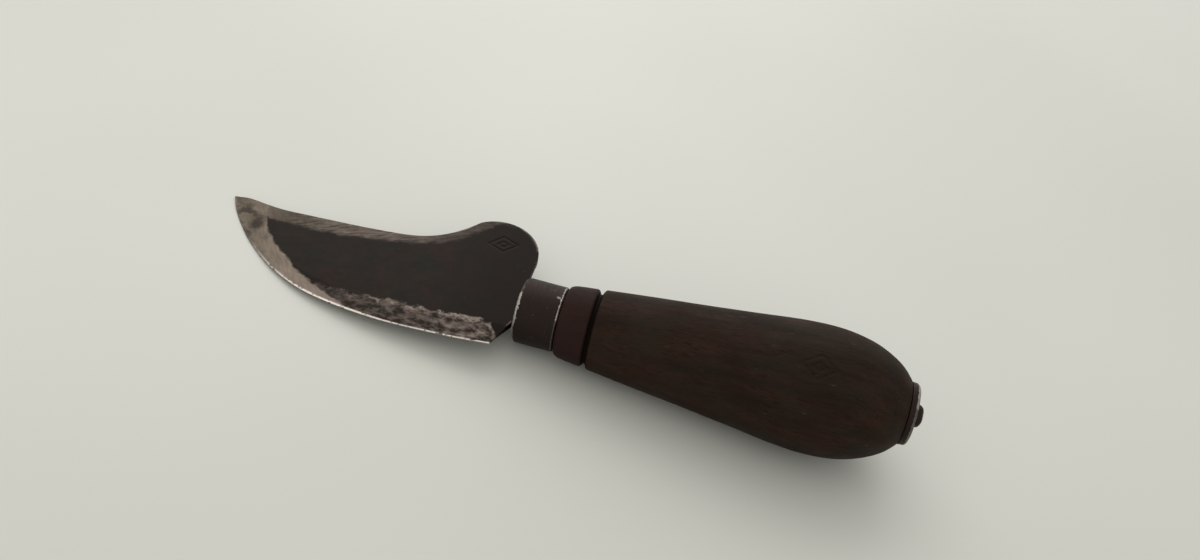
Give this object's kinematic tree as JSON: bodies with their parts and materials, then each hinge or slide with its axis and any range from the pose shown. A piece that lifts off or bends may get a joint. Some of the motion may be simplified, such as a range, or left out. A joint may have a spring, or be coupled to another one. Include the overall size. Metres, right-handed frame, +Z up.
{
  "type": "fixed-blade knife",
  "caption": "Fixed-blade knife: broad upswept steel blade with a round lobe behind the spine, steel ferrule and a pear-shaped turned hardwood handle with the tang peened over a cap.",
  "frame": {"origin": "on the table, under the middle of the bounding box of the knife lying at rest", "axes": "+Z up from the table; +X along the knife towards the pommel; +Y across it, from the cutting edge towards the spine"},
  "size_m": [0.2196, 0.0536, 0.0394],
  "materials": {
    "blade_steel": "dark brown-grey patina on carbon steel, ground bright and scratched along the cutting edge, the tip and the spine",
    "ferrule_steel": "dark patinated steel tube, worn bright on both rims",
    "handle_wood": "very dark red-brown hardwood, turned, oiled by long handling to a soft sheen",
    "cap_steel": "dark thin steel washer with a worn bright rim",
    "bedding_cement": "black cutler's cement, matt"
  },
  "bodies": {
    "root": {"blade": "blade_steel", "ferrule": "ferrule_steel", "handle": "handle_wood", "pommel_cap": "cap_steel", "tang_bedding": "bedding_cement"}
  },
  "joints": []
}
